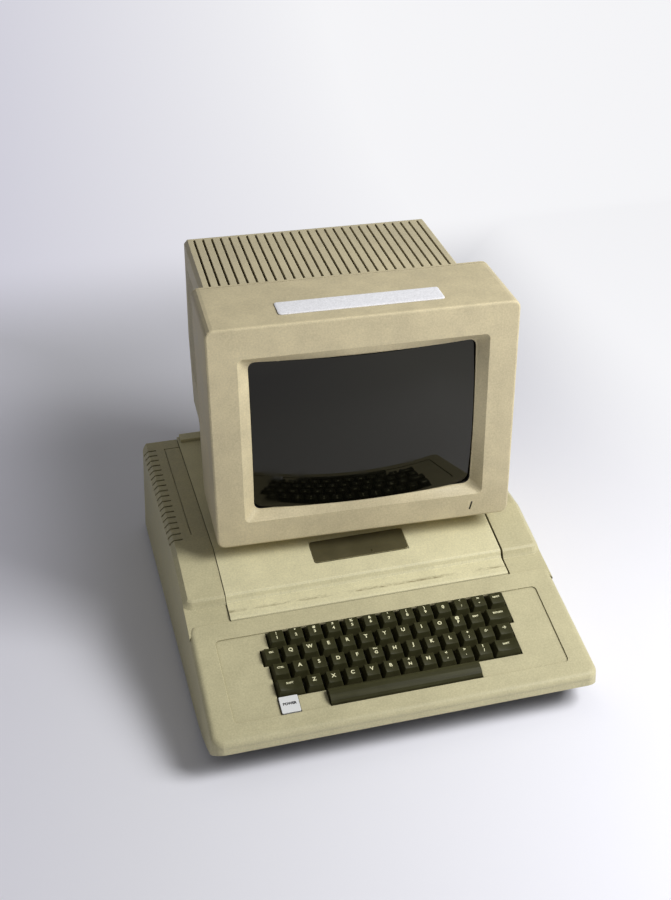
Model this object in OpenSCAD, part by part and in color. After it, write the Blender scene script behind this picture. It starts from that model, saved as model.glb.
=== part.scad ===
// Home computer with its keyboard in a wedge-shaped case and a small monitor on its lid.
// Millimetres, +Z up, front of the case towards -Y, origin under the middle at table level.

/* [Case] */
// Thickness of the moulded case walls
wall = 3.2; // [2.8:0.1:3.6]
// Number of louvres along each upper side edge
louvre_count = 18; // [10:1:18]
// Width of one louvre
louvre_width = 2.6; // [1.6:0.2:3.2]
// Width of the bare badge plate
badge_width = 101; // [80:1:110]

/* [Keys] */
// Gap between neighbouring key caps
key_gap = 0.95; // [0.8:0.05:1.4]
// Height of the key tops above the panel
key_rise = 5; // [4:0.5:6]
// Width of a key's top face, front to back and side to side
key_top = 12.8; // [12:0.2:13.6]

/* [Monitor] */
// How far the monitor is turned on the lid, degrees
monitor_turn = 2.6; // [0:0.1:3]
// How far the monitor stands to the right of the middle
monitor_shift = 10.6; // [0:0.2:12]
// Number of vent slots in the top of the monitor's rear housing
vent_count = 27; // [15:2:27]
// Width of one vent slot
vent_width = 2.6; // [1.6:0.2:3.2]

/* [Hidden] */
$fn = 32;
middle = -16.85;
unit = 19.05;
panel_slope = 15.5;
lip_y = -220.5;
lip_z = 45.5;
slope_y = -66.6;
slope_z = 95.2;
slope_tilt = 15.36;
block_corner_x = 179.62;
block_corner_y = 5.54;
block_turn = 5;
case_front = -224.3;
case_rear = 230;
case_foot = 195;
case_top = 188.6;
case_corner = 13;
wall_lean = 2.91;
deck_edge_x = 192.45;
deck_edge_turn = 0.8;
deck_front = 1.35;
deck_rear = 132.8;
deck_radius = 6.4;
deck_turn = 6.6;
crease_depth = 1.4;
recess_depth = 1.3;
strip_top = 110.6;
opening_left = -147.6;
opening_right = 148.3;
key_origin = 4.26;
first_row = 102.5;
cap_base = -4.5;
cut_margin = 0.4;
switch_x = -127.3;
switch_z = 35.6;
rocker_half = 5.6;
rocker_pin = 1.6;
rocker_tilt = 12;
tube_y = -41.4;
tube_z = 244.8;
tube_radius = 600;
border_y = -40;
border_radius = 850;
front_y = -38;
front_rear = 64;
front_bottom = 126;
front_top = 368.5;
front_half = 153.4;
back_y = 249;
body_colour = [0.72, 0.68, 0.54];
key_colour = [0.16, 0.14, 0.10];

// ---- shared shapes ----

// An outline drawn as [y, z], drawn out across the machine from one x to another.
module across(from, to) {
  translate([from, 0, 0])
    rotate([90, 0, 90])
      linear_extrude(to - from)
        children();
}

// An outline drawn as [x, z], drawn out from front to back.
module fore_aft(from, to) {
  translate([0, to, 0])
    rotate([90, 0, 0])
      linear_extrude(to - from)
        children();
}

// A rectangle with rounded corners about the origin.
module rounded(width, depth, radius) {
  square([width - 2 * radius, depth], center = true);
  square([width, depth - 2 * radius], center = true);
  for (sx = [-1, 1])
    for (sy = [-1, 1])
      translate([sx * (width / 2 - radius), sy * (depth / 2 - radius)])
        circle(r = radius);
}

// A shape and its mirror image in the middle plane.
module both_sides() {
  children();
  mirror([1, 0, 0])
    children();
}

// The keyboard panel: x across, y up the slope from the lip, z out of the panel.
module on_panel() {
  translate([0, lip_y, lip_z])
    rotate([panel_slope, 0, 0])
      children();
}

// The sloping front of the lid: y up the slope, z out of it.
module on_slope() {
  translate([0, slope_y, slope_z])
    rotate([slope_tilt, 0, 0])
      children();
}

// Everything on the lid that belongs to the monitor is turned and set over together.
module on_lid() {
  translate([monitor_shift, 40, 0])
    rotate([0, 0, -monitor_turn])
      translate([0, -40, 0])
        children();
}

// The whole machine is centred front to back.
module place() {
  translate([0, middle, 0])
    children();
}

// ---- case ----

// How far a rounding has dropped, as [along, down], at an angle from its top.
function drop(angle) = [deck_radius * sin(angle), deck_radius * (1 - cos(angle))];

// A point of the panel's side view, given along the slope and down into it.
function in_slope(s, depth) = [lip_y + s * cos(panel_slope) + depth * sin(panel_slope),
  lip_z + s * sin(panel_slope) - depth * cos(panel_slope)];

rounding = [for (angle = [0 : 15 : 90]) drop(angle)];
lip_round = [for (i = [6 : -1 : 0]) in_slope(deck_front - rounding[i][0], rounding[i][1])];
case_side = concat([[case_front, 32]], lip_round, [[-92.5, 81], [-91.7, 79.9], [-71, 85.4],
  [-69.4, 88.2], [-67.8, 92.6], [-65.7, 94.4], [-8.5, 110.1], [-5.5, 110.6], [227.5, 110.6],
  [230, 108.1], [230, 6], [-128, 6], [-150, 7.4], [-172, 11.4], [-195, 18.4], [-213, 26.2],
  [-221, 30.6]]);
hollow_side = [[-220.6, -10], [-220.6, 38.6], [-217, 42.8], [-92, 77.4], [-70, 81.8],
  [-64.2, 91.1], [-7.6, 106.8], [226.6, 106.8], [226.6, -10]];
lid_cut_side = [[-91.9, 70], [-69.4, 80], [-63.4, 90], [-7, 105.6], [226, 105.6], [226, 97.5],
  [231, 97.5], [231, 130], [-91.9, 130]];
ledge_side = [[-90, 71], [-66.5, 76.8], [-60.4, 86.2], [-6, 101.6], [226.8, 101.6],
  [226.8, 99], [-5.6, 99], [-58.8, 83.8], [-64.8, 74.6], [-90, 68.4]];
web_side = [[-92, 76.8], [-69.6, 82.4], [-63.8, 91.8], [-7.4, 107.4], [226.8, 107.4],
  [226.8, 99], [-5.6, 99], [-58.8, 83.8], [-64.8, 74.6], [-92, 68]];
flange_side = [[-88, 79.6], [-69, 84.4], [-64.6, 92.8], [-7.6, 108.6], [215, 108.6],
  [215, 102.2], [-6.2, 102.2], [-60.8, 86.8], [-67, 77.4], [-88, 72.2]];
lid_side = [[-91.4, 80.2], [-90.7, 81.8], [-88.8, 82.8], [-70.7, 86.9], [-69, 89.4],
  [-67.8, 93.4], [-66.2, 95.2], [-8.6, 111], [-6, 111.3], [216, 111.3], [231.2, 111.3],
  [231.2, 98], [228.4, 98], [228.4, 108.2], [-7.6, 108.2], [-64.4, 92.3], [-68.8, 83.6],
  [-90.2, 78.8], [-91.4, 78.8]];

// What the side walls enclose, with a band left off each side and upright corners that lean with them.
module leaning_walls(front, rear, inset) {
  fore_aft(front, rear)
    polygon([[inset - case_foot, -12], [inset - case_top, 114], [case_top - inset, 114],
      [case_foot - inset, -12]]);
}

// The wedge seen from the side, within the leaning walls and their rounded corners.
module case_outline(side, inset) {
  intersection() {
    across(-200, 200)
      polygon(side);
    union() {
      leaning_walls(case_front + case_corner, case_rear - case_corner, inset);
      leaning_walls(case_front + inset, case_rear - inset, case_corner);
      both_sides()
        for (y = [case_front + case_corner, case_rear - case_corner])
          translate([case_foot - case_corner, y, -12])
            rotate([0, -wall_lean, 0])
              translate([0, 0, -10])
                cylinder(r = case_corner - inset, h = 150);
    }
  }
}

// The stepped hole the keys stand in, on the panel.
module key_opening() {
  for (step = [[0, 13, 0], [-0.5, 13, 1], [-0.25, 12.75, 2], [-0.25, 12.75, 3],
      [-0.25, 0.75, 4], [2.25, 10.25, 4]])
    translate([column_x(step[0]) - cut_margin, row_s(step[2]) - unit / 2 - cut_margin, -12])
      cube([(step[1] - step[0]) * unit + 2 * cut_margin, unit + 2 * cut_margin, 16]);
}

// The shallow recess round the keys.
module key_recess() {
  translate([0, 64.6, -recess_depth])
    linear_extrude(6)
      rounded(335, 96.4, 5);
}

module case_louvres() {
  pitch = 188.5 / (louvre_count - 1);
  for (i = [0 : louvre_count - 1])
    translate([-196, 19.5 + i * pitch - louvre_width / 2, 104.4])
      cube([21.2, louvre_width, 10]);
}

module case_grooves() {
  translate([-165.4, 25, 109.6])
    cube([1.3, 184, 3]);
  translate([-165.4, 207.7, 109.6])
    cube([18, 1.3, 3]);
}

// The block's front bevel carries on round its corner into the side chamfer.
module block_corner() {
  on_slope()
    translate([block_corner_x, block_corner_y, 0])
      intersection() {
        rotate_extrude($fn = 64)
          translate([block_turn, 0])
            polygon([[0, 9], [0, -1], [2.5, -2.2], [5.2, -6], [7.5, -8.2], [12, -8.2], [12, 9]]);
        translate([0, -30, -20])
          cube([30, 30, 40]);
      }
}

// The section that is cut away beside a rounded edge, from the given turn outwards.
module rounding_section(turn) {
  polygon(concat([[turn, 8]], [for (p = rounding) [turn + p[0], -p[1]]],
    [[turn + deck_radius + 3.2, -deck_radius - 8], [turn + 22, -deck_radius - 8], [turn + 22, 8]]));
}

// The rounding swept round a corner of the deck; x and y point outwards.
module corner_round(turn) {
  intersection() {
    rotate_extrude($fn = 64)
      rounding_section(turn);
    translate([0, 0, -20])
      cube([40, 40, 40]);
  }
}

// The deck's side edge is round, and the rounding turns in at the lip and behind the keys.
module deck_edge() {
  front_y = deck_front + deck_turn;
  rear_y = deck_rear - deck_turn;
  difference() {
    translate([deck_edge_x, 0, 0])
      rotate([0, 0, deck_edge_turn]) {
        translate([-deck_radius, rear_y, 0])
          rotate([90, 0, 0])
            linear_extrude(rear_y - front_y)
              rounding_section(0);
        translate([-deck_radius - deck_turn, rear_y, 0])
          corner_round(deck_turn);
        translate([-deck_radius - deck_turn, front_y, 0])
          mirror([0, 1, 0])
            corner_round(deck_turn);
      }
    translate([0, 0, -20 - crease_depth])
      linear_extrude(20)
        polygon([[140, 150], [140, rear_y + 0.6], [186.9, rear_y + 0.6], [192.5, rear_y - 9],
          [215, rear_y - 9], [215, 150]]);
    translate([100, deck_rear + 0.9, -20])
      cube([120, 40, 40]);
  }
}

module rear_windows() {
  for (x = [-38, 22, 82])
    translate([x - 14, 220, 58])
      cube([28, 20, 44]);
  translate([-178, 220, 14])
    cube([72, 20, 48]);
  translate([104, 220, 16])
    cube([66, 20, 20]);
}

module case_shell() {
  color(body_colour)
    difference() {
      union() {
        difference() {
          case_outline(case_side, 0);
          case_outline(hollow_side, wall);
          across(opening_left, opening_right)
            polygon(lid_cut_side);
        }
        both_sides() {
          across(140, 150.8)
            polygon(ledge_side);
          across(148.3, 150.8)
            polygon(web_side);
        }
      }
      both_sides() {
        on_panel()
          deck_edge();
        translate([184.2, -10, strip_top])
          rotate([0, 45, 0])
            translate([-12, 0, 0])
              cube([40, 260, 20]);
        translate([184.2, slope_y, slope_z - 0.7])
          rotate([slope_tilt, 0, 0])
            rotate([0, 45, 0])
              translate([-12, -2, 0])
                cube([40, 62, 20]);
        case_louvres();
        case_grooves();
        block_corner();
      }
      on_panel() {
        key_opening();
        key_recess();
      }
      rear_windows();
    }
}

module lid() {
  color(body_colour)
    difference() {
      union() {
        across(-146.9, 145.8)
          polygon(lid_side);
        across(-146.9, -144.5)
          polygon(flange_side);
        across(143.4, 145.8)
          polygon(flange_side);
        translate([-144, 217.5, 110.8])
          cube([288, 13.7, 4.2]);
      }
      on_slope()
        translate([1.3 - badge_width / 2 - 0.4, 20.6, -0.8])
          cube([badge_width + 0.8, 29.2, 6]);
    }
}

module badge_plate() {
  color([0.22, 0.20, 0.17])
    on_slope()
      translate([1.3, 35.2, -0.8])
        linear_extrude(1.3)
          rounded(badge_width, 28.4, 4);
}

module base_pan() {
  color([0.20, 0.19, 0.17])
    difference() {
      across(-188, 188)
        polygon([[-217.5, 31], [-216, 29], [-194, 20.8], [-171, 13.6], [-149, 9.6], [-127, 8],
          [222, 8], [222, 6], [-127.4, 6], [-149.8, 7.5], [-172, 11.5], [-195, 18.5],
          [-213, 26.3], [-217.5, 28.8]]);
      for (y = [-20 : 14 : 120])
        translate([-60, y, 0])
          cube([120, 4, 12]);
    }
}

module case_feet() {
  color([0.12, 0.12, 0.12])
    for (x = [-165, 165])
      for (y = [-110, 200])
        translate([x, y, 0])
          cylinder(r = 9, h = 6);
}

// ---- electronics in the case ----

module mainboard() {
  color([0.10, 0.30, 0.16]) {
    translate([-92, -66, 16])
      cube([272, 282, 1.6]);
    for (x = [-84, 44, 172])
      for (y = [-58, 60, 208])
        translate([x, y, 8])
          cylinder(r = 3.5, h = 8);
    translate([0, 0, 17.6])
      linear_extrude(4.2) {
        for (i = [0 : 7])
          for (j = [0 : 5])
            translate([-78 + i * 31, -54 + j * 17])
              square([19, 7.5]);
      }
    translate([6, 50, 17.6])
      cube([52, 15, 5]);
    for (x = [116, 137, 158])
      translate([x, 212, 25])
        rotate([-90, 0, 0])
          cylinder(r = 5.5, h = 15);
    translate([108, 206, 17.6])
      cube([58, 9, 14]);
  }
}

module card_slots() {
  color([0.13, 0.25, 0.20])
    translate([0, 0, 17.8])
      difference() {
        linear_extrude(13)
          for (i = [0 : 7])
            translate([-76 + i * 25, 84])
              square([9, 112]);
        translate([0, 0, 4])
          linear_extrude(12)
            for (i = [0 : 7])
              translate([-72.7 + i * 25, 88])
                square([2.4, 104]);
      }
}

module power_supply() {
  color([0.66, 0.60, 0.40])
    difference() {
      union() {
        translate([-182, -52, 8.2])
          cube([80, 274, 60]);
        translate([-176, 221, 18])
          cube([32, 7, 26]);
      }
      translate([-180.6, -50.6, 9.6])
        cube([77.2, 271.2, 57.2]);
      translate([-173, 223, 21])
        cube([26, 8, 20]);
      translate([switch_x - rocker_half - 0.4, 215, switch_z - 11])
        cube([2 * rocker_half + 0.8, 10, 22]);
      for (i = [0 : 14])
        translate([-172, -36 + i * 14, 60])
          cube([60, 5, 12]);
    }
  color([0.66, 0.60, 0.40])
    for (x = [-166, -160, -154])
      translate([x - 1, 216, 30])
        cube([2, 9.5, 4]);
  color([0.66, 0.60, 0.40])
    translate([switch_x, 215, switch_z])
      rocker_cheeks(5.8);
}

// A rocker about its pin, with a dished face; it is drawn pressed at its lower end.
module rocker() {
  rotate([-rocker_tilt, 0, 0]) {
    across(-rocker_half, rocker_half)
      polygon([[-4, -8.2], [9.4, -8.2], [8.2, 0], [9.4, 8.2], [-4, 8.2]]);
    across(-rocker_half - 1.4, rocker_half + 1.4)
      circle(r = rocker_pin);
  }
}

// The two cheeks that hold a rocker's pin, standing on the inside of a wall.
module rocker_cheeks(wall_inside) {
  difference() {
    both_sides()
      translate([rocker_half + 0.4, -6, -9])
        cube([1.2, wall_inside + 6, 18]);
    across(-rocker_half - 3, rocker_half + 3)
      circle(r = rocker_pin + 0.25);
  }
}

module power_switch() {
  color([0.08, 0.08, 0.08])
    translate([switch_x, 215, switch_z])
      rocker();
}

module speaker() {
  color([0.18, 0.17, 0.16])
    translate([-140, -92, 8])
      difference() {
        union() {
          cylinder(r = 29, h = 4);
          cylinder(r1 = 26, r2 = 14, h = 13);
          cylinder(r = 15, h = 20);
        }
        translate([0, 0, -1])
          cylinder(r1 = 26, r2 = 8, h = 10);
      }
}

// ---- keyboard ----

function column_x(u) = (u - 6.375) * unit + key_origin;
function row_s(row) = first_row - row * unit;

switch_list = concat(
  [for (i = [0 : 12]) [i + 0.5, 0]],
  [for (i = [0 : 11]) [i, 1]], [[12.25, 1]],
  [for (i = [0 : 12]) [i + 0.25, 2]],
  [[0.5, 3]], [for (i = [0 : 9]) [i + 1.75, 3]], [[12, 3]],
  [[6.25, 4]]);

module key_frame() {
  color([0.20, 0.20, 0.19])
    on_panel() {
      translate([column_x(-0.5), 17, -16.5])
        cube([13.5 * unit, 95, 1.5]);
      translate([0, 0, -15])
        linear_extrude(6)
          difference() {
            for (p = switch_list)
              translate([column_x(p[0]), row_s(p[1])])
                square([14, 14], center = true);
            for (p = switch_list)
              translate([column_x(p[0]), row_s(p[1])])
                circle(r = 2.9);
          }
      translate([column_x(-0.5), 17, -22])
        cube([13.5 * unit, 95, 1.6]);
      for (x = [-118, -34, 46, 122])
        for (s = [20.7, 108.6])
          translate([x, s, -20.4])
            cylinder(r = 3, h = 4);
      for (x = [-141, 149])
        for (s = [30, 100])
          translate([x, s, -16.5])
            cylinder(r = 4, h = 12.6);
      for (s = [30, 100])
        translate([-145, s - 5, -18])
          cube([298, 10, 1.6]);
    }
}

// One hollow tapered cap with a dished top, standing on its plunger.
module key_cap(left, row, units) {
  width = units * unit - key_gap;
  depth = unit - key_gap;
  inset = (unit - key_gap - key_top) / 2;
  color(key_colour)
    on_panel()
      translate([column_x(left + units / 2), row_s(row), 0]) {
        difference() {
          intersection() {
            across(-width / 2, width / 2)
              polygon([[-depth / 2, cap_base], [-depth / 2 + inset, key_rise + 0.3],
                [depth / 2 - inset, key_rise + 0.9], [depth / 2, cap_base]]);
            fore_aft(-depth / 2, depth / 2)
              polygon([[-width / 2, cap_base], [-width / 2 + inset, key_rise + 1],
                [width / 2 - inset, key_rise + 1], [width / 2, cap_base]]);
          }
          if (units < 2)
            translate([0, -12, key_rise + 34])
              rotate([-90, 0, 0])
                cylinder(r = 34.2 + (units - 1) * 0.4, h = 24, $fn = 96);
          translate([-width / 2 + 3.6, -depth / 2 + 3.6, cap_base - 1])
            cube([width - 7.2, depth - 7.2, key_rise - cap_base - 0.8]);
          translate([-width / 2 + 1.8, -depth / 2 + 1.8, cap_base - 1])
            cube([width - 3.6, depth - 3.6, 3]);
        }
        translate([0, 0, -10.5])
          cylinder(r = 2.5, h = key_rise + 9.6);
      }
}

module number_row() {
  for (i = [0 : 12])
    key_cap(i, 0, 1);
}

module key_esc() key_cap(-0.5, 1, 1);
module key_q() key_cap(0.5, 1, 1);
module key_w() key_cap(1.5, 1, 1);
module key_e() key_cap(2.5, 1, 1);
module key_r() key_cap(3.5, 1, 1);
module key_t() key_cap(4.5, 1, 1);
module key_y() key_cap(5.5, 1, 1);
module key_u() key_cap(6.5, 1, 1);
module key_i() key_cap(7.5, 1, 1);
module key_o() key_cap(8.5, 1, 1);
module key_p() key_cap(9.5, 1, 1);
module key_rept() key_cap(10.5, 1, 1);
module key_return() key_cap(11.5, 1, 1.5);
module key_ctrl() key_cap(-0.25, 2, 1);
module key_a() key_cap(0.75, 2, 1);
module key_s() key_cap(1.75, 2, 1);
module key_d() key_cap(2.75, 2, 1);
module key_f() key_cap(3.75, 2, 1);
module key_g() key_cap(4.75, 2, 1);
module key_h() key_cap(5.75, 2, 1);
module key_j() key_cap(6.75, 2, 1);
module key_k() key_cap(7.75, 2, 1);
module key_l() key_cap(8.75, 2, 1);
module key_semicolon() key_cap(9.75, 2, 1);
module key_left() key_cap(10.75, 2, 1);
module key_right() key_cap(11.75, 2, 1);
module key_shift_left() key_cap(-0.25, 3, 1.5);
module key_z() key_cap(1.25, 3, 1);
module key_x() key_cap(2.25, 3, 1);
module key_c() key_cap(3.25, 3, 1);
module key_v() key_cap(4.25, 3, 1);
module key_b() key_cap(5.25, 3, 1);
module key_n() key_cap(6.25, 3, 1);
module key_m() key_cap(7.25, 3, 1);
module key_comma() key_cap(8.25, 3, 1);
module key_period() key_cap(9.25, 3, 1);
module key_slash() key_cap(10.25, 3, 1);
module key_shift_right() key_cap(11.25, 3, 1.5);

module space_bar() {
  half = 4 * unit - key_gap / 2;
  color(key_colour)
    on_panel()
      translate([column_x(6.25), row_s(4), 0]) {
        difference() {
          across(-half, half)
            polygon([[-9, cap_base], [-8.7, -1.4], [-7.8, 0.8], [-6.2, 2.6], [-3.6, 4],
              [-0.4, 4.8], [3.2, 5], [6.2, 4.8], [7.6, 3.6], [9, cap_base]]);
          translate([-half + 1.8, -7, cap_base - 1])
            cube([2 * half - 3.6, 13.4, 3.4]);
          translate([-half + 1.8, -5, cap_base - 1])
            cube([2 * half - 3.6, 10.4, 6.8]);
        }
        translate([0, 0, -10.5])
          cylinder(r = 2.5, h = 12.9);
      }
}

module power_lamp() {
  color([0.92, 0.92, 0.88])
    on_panel()
      translate([column_x(0.25), row_s(4), 0]) {
        translate([0, 0, -6])
          linear_extrude(7)
            rounded(18.2, 18.2, 1);
        translate([0, 0, -15])
          cylinder(r = 4, h = 9.5);
      }
}

// ---- monitor ----

// Points round a rounded rectangle about the tube's middle, as [x, z], side by side.
function ring(half_x, half_z, radius) = [
  for (corner = [[1, 1, 0], [-1, 1, 90], [-1, -1, 180], [1, -1, 270]])
    for (i = [0 : 4])
      [corner[0] * (half_x - radius) + radius * cos(corner[2] + i * 22.5),
       corner[1] * (half_z - radius) + radius * sin(corner[2] + i * 22.5)]];

// The same ring with points added along its four sides.
function fine_ring(points) = [
  for (k = [0 : 3])
    for (i = [0 : 12])
      i < 5 ? points[k * 5 + i]
        : points[k * 5 + 4] + (points[(k * 5 + 5) % 20] - points[k * 5 + 4]) * (i - 4) / 9];

// How far back the border lies at a point, as it bows with the glass.
function border_at(p) = border_y + border_radius
  - sqrt(border_radius * border_radius - p[0] * p[0] - p[1] * p[1]);

// A flat ring of [x, z] points set upright at one distance from the front, about a height.
function upright(points, y, height) = [for (p = points) [p[0], y, height + p[1]]];

// A solid through a row of rings, one behind another, closed at both ends.
module ringed(rings) {
  count = len(rings[0]);
  last = len(rings) - 1;
  bands = [for (b = [0 : last - 1]) for (i = [0 : count - 1]) for (half = [0, 1])
    half == 0
      ? [b * count + i, b * count + (i + 1) % count, (b + 1) * count + i]
      : [b * count + (i + 1) % count, (b + 1) * count + (i + 1) % count, (b + 1) * count + i]];
  middles = [for (r = [rings[0], rings[last]]) (r[0] + r[count / 2]) / 2];
  caps = [for (i = [0 : count - 1]) for (half = [0, 1])
    half == 0
      ? [(i + 1) % count, i, (last + 1) * count]
      : [last * count + i, last * count + (i + 1) % count, (last + 1) * count + 1]];
  polyhedron(concat([for (r = rings) each r], middles), concat(bands, caps), convexity = 4);
}

// What is cut away in front of the tube: a sloping border with a narrow lip that bows with the glass.
module screen_cut() {
  outer = upright(fine_ring(ring(124, 91.2, 5)), front_y, tube_z);
  lip = [for (p = fine_ring(ring(114.3, 83.9, 7))) [p[0], border_at(p) - 0.2, tube_z + p[1]]];
  inner_ring = fine_ring(ring(113, 82.6, 7));
  inner = [for (p = inner_ring) [p[0], border_at(p) + 0.7, tube_z + p[1]]];
  ringed(concat(
    [upright(fine_ring(ring(124, 91.2, 5)), front_y - 20, tube_z)],
    [for (part = [0 : 0.25 : 1]) outer + (lip - outer) * part],
    [inner, upright(inner_ring, 0, tube_z)]));
}

// The front section's outside, with the edge round its face rounded over.
module front_block() {
  height = (front_top - front_bottom) / 2;
  mid = (front_top + front_bottom) / 2;
  ringed([for (step = [[0, 2, 6.5], [0.6, 0.6, 7.9], [2, 0, 8.5], [front_rear - front_y - 1, 0, 8.5],
      [front_rear - front_y, 1, 7.5]])
    upright(ring(front_half - step[1], height - step[1], step[2]), front_y + step[0], mid)]);
}

module monitor_front() {
  height = front_top - front_bottom;
  mid = (front_top + front_bottom) / 2;
  color(body_colour)
    on_lid() {
      for (sx = [-1, 1])
        for (sz = [-1, 1])
          translate([sx * 124, front_y + 9, tube_z + sz * 93])
            rotate([-90, 0, 0])
              cylinder(r = 4, h = 2.9);
      difference() {
        front_block();
        fore_aft(front_y + 10, front_rear - 3)
          translate([0, mid])
            rounded(2 * front_half - 6.4, height - 6.4, 7);
        fore_aft(front_rear - 4, front_rear + 1)
          polygon([[-133, 129.2], [-137.3, 144.5], [-138, 230], [-135.8, 340.6],
            [-133.6, 343.5], [133.6, 343.5], [135.8, 340.6], [138, 230], [137.3, 144.5],
            [133, 129.2]]);
        screen_cut();
        fore_aft(front_rear - 4.6, front_rear - 3.8)
          translate([0, mid])
            difference() {
              square([2 * front_half + 4, height + 4], center = true);
              rounded(2 * front_half - 1, height - 1, 8);
            }
        translate([111.6, front_y - 1, 136])
          rotate([0, -12, 0])
            cube([1.6, 12, 9.6]);
      }
    }
}

back_outline = [[-136, 115.6], [-136, 127], [-140.3, 144], [-141, 230], [-138.8, 342],
  [-135, 346.5], [135, 346.5], [138.8, 342], [141, 230], [140.3, 144], [136, 127], [136, 115.6]];
back_hollow = [[-133, 118.6], [-133, 127.6], [-137.3, 144.5], [-138, 230], [-135.8, 340.6],
  [-133.6, 343.5], [133.6, 343.5], [135.8, 340.6], [138, 230], [137.3, 144.5], [133, 127.6],
  [133, 118.6]];

module monitor_back() {
  pitch = 256 / (vent_count - 1);
  color(body_colour)
    on_lid()
      difference() {
        union() {
          translate([-89.3, back_y - 6, 151])
            rocker_cheeks(3.4);
          difference() {
            fore_aft(front_rear + 0.3, back_y)
              polygon(back_outline);
            fore_aft(front_rear - 2, back_y - 3)
              polygon(back_hollow);
          }
          difference() {
            translate([-134, -8, 115.6])
              cube([268, 73, 10]);
            translate([-131, -5, 118.6])
              cube([262, 80, 12]);
          }
        }
        for (i = [0 : vent_count - 1])
          translate([-128 + i * pitch - vent_width / 2, 74, 338])
            cube([vent_width, 200, 20]);
        both_sides()
          for (i = [0 : 9])
            translate([132, 150 + i * 9, 190])
              cube([14, 3, 130]);
        translate([-89.3 - rocker_half - 0.4, back_y - 6, 140])
          cube([2 * rocker_half + 0.8, 12, 22]);
        translate([-60, back_y - 6, 138])
          cube([28, 12, 22]);
        translate([60, back_y - 6, 151])
          rotate([-90, 0, 0])
            cylinder(r = 4, h = 12);
        translate([96, back_y - 6, 151])
          rotate([-90, 0, 0])
            cylinder(r = 7, h = 12);
      }
}

module picture_tube() {
  color([0.10, 0.11, 0.11])
    on_lid() {
      intersection() {
        fore_aft(tube_y - 4, -18)
          translate([0, tube_z])
            rounded(225, 164.2, 6.5);
        translate([0, tube_y + tube_radius, tube_z])
          sphere(r = tube_radius, $fn = 360);
      }
      fore_aft(-25.4, -4)
        translate([0, tube_z])
          rounded(242, 181, 16);
      intersection() {
        translate([0, -4.2, tube_z])
          rotate([-90, 0, 0])
            cylinder(r1 = 140, r2 = 16, h = 120, $fn = 96);
        translate([-119, -5, tube_z - 89])
          cube([238, 125, 178]);
      }
      translate([0, 112, tube_z])
        rotate([-90, 0, 0])
          cylinder(r = 14.5, h = 112);
      for (sx = [-1, 1])
        for (sz = [-1, 1])
          translate([sx * 119 - 9, -25.4, tube_z + sz * 88 - 9])
            cube([18, 2.4, 18]);
      translate([0, 88, tube_z])
        rotate([-90, 0, 0])
          cylinder(r1 = 56, r2 = 38, h = 46, $fn = 64);
    }
}

module monitor_board() {
  color([0.35, 0.24, 0.12])
    on_lid() {
      translate([-124, 30, 122])
        cube([248, 206, 1.6]);
      for (x = [-116, 116])
        for (y = [38, 228])
          translate([x, y, 118.6])
            cylinder(r = 4, h = 3.4);
      translate([-112, 70, 123.6])
        cube([44, 40, 40]);
      translate([-84, 150, 123.6])
        cube([62, 56, 52]);
      for (y = [84, 118])
        translate([76, y, 123.6])
          cylinder(r = 13, h = 40);
      translate([36, 150, 123.6])
        cube([4, 60, 46]);
      difference() {
        union() {
          translate([-59.6, 222, 123.6])
            cube([27.2, 23.6, 36]);
          translate([-59.6, 245, 138.4])
            cube([27.2, 3, 21.2]);
        }
        translate([-56.6, 236, 141.2])
          cube([21.2, 14, 15.4]);
      }
      for (x = [-52, -46, -40])
        translate([x - 1, 234, 147])
          cube([2, 12, 4]);
      translate([86, 226, 123.6])
        cube([20, 12, 38]);
      translate([96, 236, 151])
        rotate([-90, 0, 0])
          difference() {
            cylinder(r = 6, h = 20);
            translate([0, 0, 6])
              cylinder(r = 4.4, h = 16);
          }
      translate([96, 236, 151])
        rotate([-90, 0, 0])
          cylinder(r = 1.6, h = 18);
    }
}

module monitor_feet() {
  color([0.12, 0.12, 0.12])
    on_lid()
      for (x = [-118, 118])
        for (y = [8, 160])
          translate([x, y, 111.6])
            cylinder(r = 8, h = 4);
}

module monitor_switch() {
  color([0.08, 0.08, 0.08])
    on_lid()
      translate([-89.3, back_y - 6, 151])
        rocker();
}

module picture_knob() {
  color([0.12, 0.12, 0.12])
    on_lid()
      translate([60, back_y - 5, 151])
        rotate([-90, 0, 0])
          difference() {
            union() {
              cylinder(r = 3.4, h = 6);
              translate([0, 0, 5.6])
                cylinder(r = 8.5, h = 9);
            }
            for (i = [0 : 11])
              rotate([0, 0, i * 30])
                translate([8.9, 0, 5])
                  cylinder(r = 1.2, h = 12, $fn = 16);
          }
}

module hook_strip() {
  color([0.93, 0.93, 0.94])
    on_lid()
      translate([1.6, -4.4, front_top])
        linear_extrude(1.6)
          rounded(163, 28, 3);
}

place() case_shell();
place() lid();
place() base_pan();
place() case_feet();
place() badge_plate();
place() mainboard();
place() card_slots();
place() power_supply();
place() power_switch();
place() speaker();
place() key_frame();
place() power_lamp();
place() number_row();
place() key_esc();
place() key_q();
place() key_w();
place() key_e();
place() key_r();
place() key_t();
place() key_y();
place() key_u();
place() key_i();
place() key_o();
place() key_p();
place() key_rept();
place() key_return();
place() key_ctrl();
place() key_a();
place() key_s();
place() key_d();
place() key_f();
place() key_g();
place() key_h();
place() key_j();
place() key_k();
place() key_l();
place() key_semicolon();
place() key_left();
place() key_right();
place() key_shift_left();
place() key_z();
place() key_x();
place() key_c();
place() key_v();
place() key_b();
place() key_n();
place() key_m();
place() key_comma();
place() key_period();
place() key_slash();
place() key_shift_right();
place() space_bar();
place() monitor_front();
place() monitor_back();
place() picture_tube();
place() monitor_board();
place() monitor_feet();
place() monitor_switch();
place() picture_knob();
place() hook_strip();
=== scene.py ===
"""A home computer with its keyboard in a wedge-shaped case and a small monitor on its lid."""
from math import cos, radians, sin, sqrt

import bmesh
import bpy
from mathutils import Matrix, Vector, noise


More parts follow.
